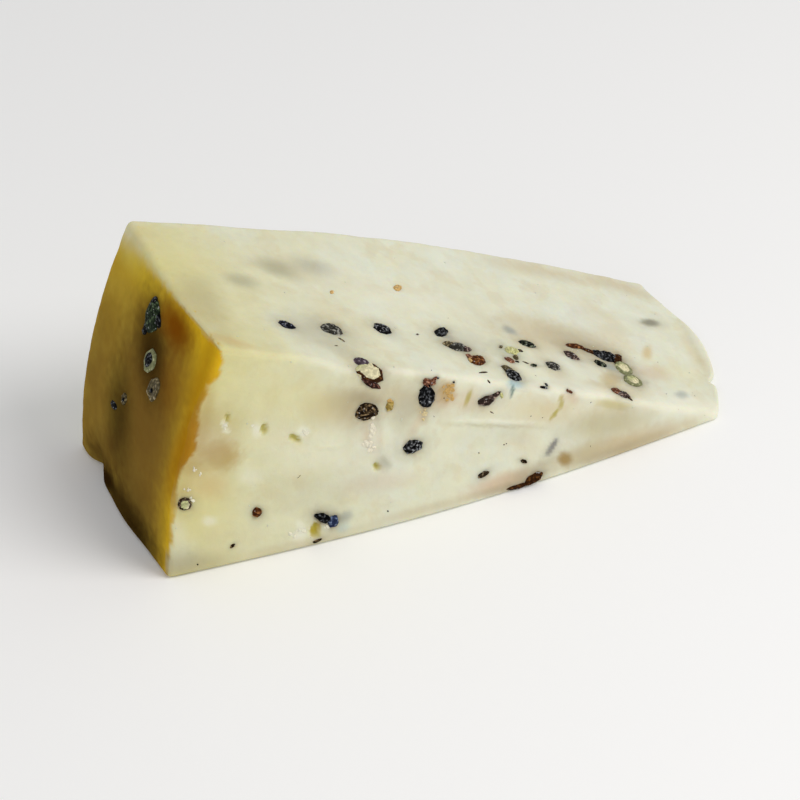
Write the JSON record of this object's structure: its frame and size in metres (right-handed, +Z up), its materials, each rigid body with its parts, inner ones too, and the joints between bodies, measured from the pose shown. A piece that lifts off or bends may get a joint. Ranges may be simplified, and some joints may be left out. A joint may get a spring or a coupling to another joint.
{
  "type": "pepper gouda wedge",
  "caption": "Wedge of semi-hard cheese with cracked peppercorns, lying on a cut face: leaning rind end, thin broken tip and small open eyes. Food for a board, table or counter.",
  "frame": {"origin": "middle of the base, on the surface that the wedge lies on", "axes": "+X from the rind end to the thin tip, +Y from the front cut face to the back one, +Z up"},
  "size_m": [0.1381, 0.0559, 0.0525],
  "materials": {
    "gouda_paste": "waxy cut cheese, pale yellow, slightly moist",
    "gouda_rind": "dry amber rind",
    "peppercorn": "wrinkled black to brown husk",
    "pepper_kernel": "matte cream to tan inside of a cut peppercorn"
  },
  "bodies": {
    "root": {"pepper_gouda": "gouda_paste"}
  },
  "joints": []
}
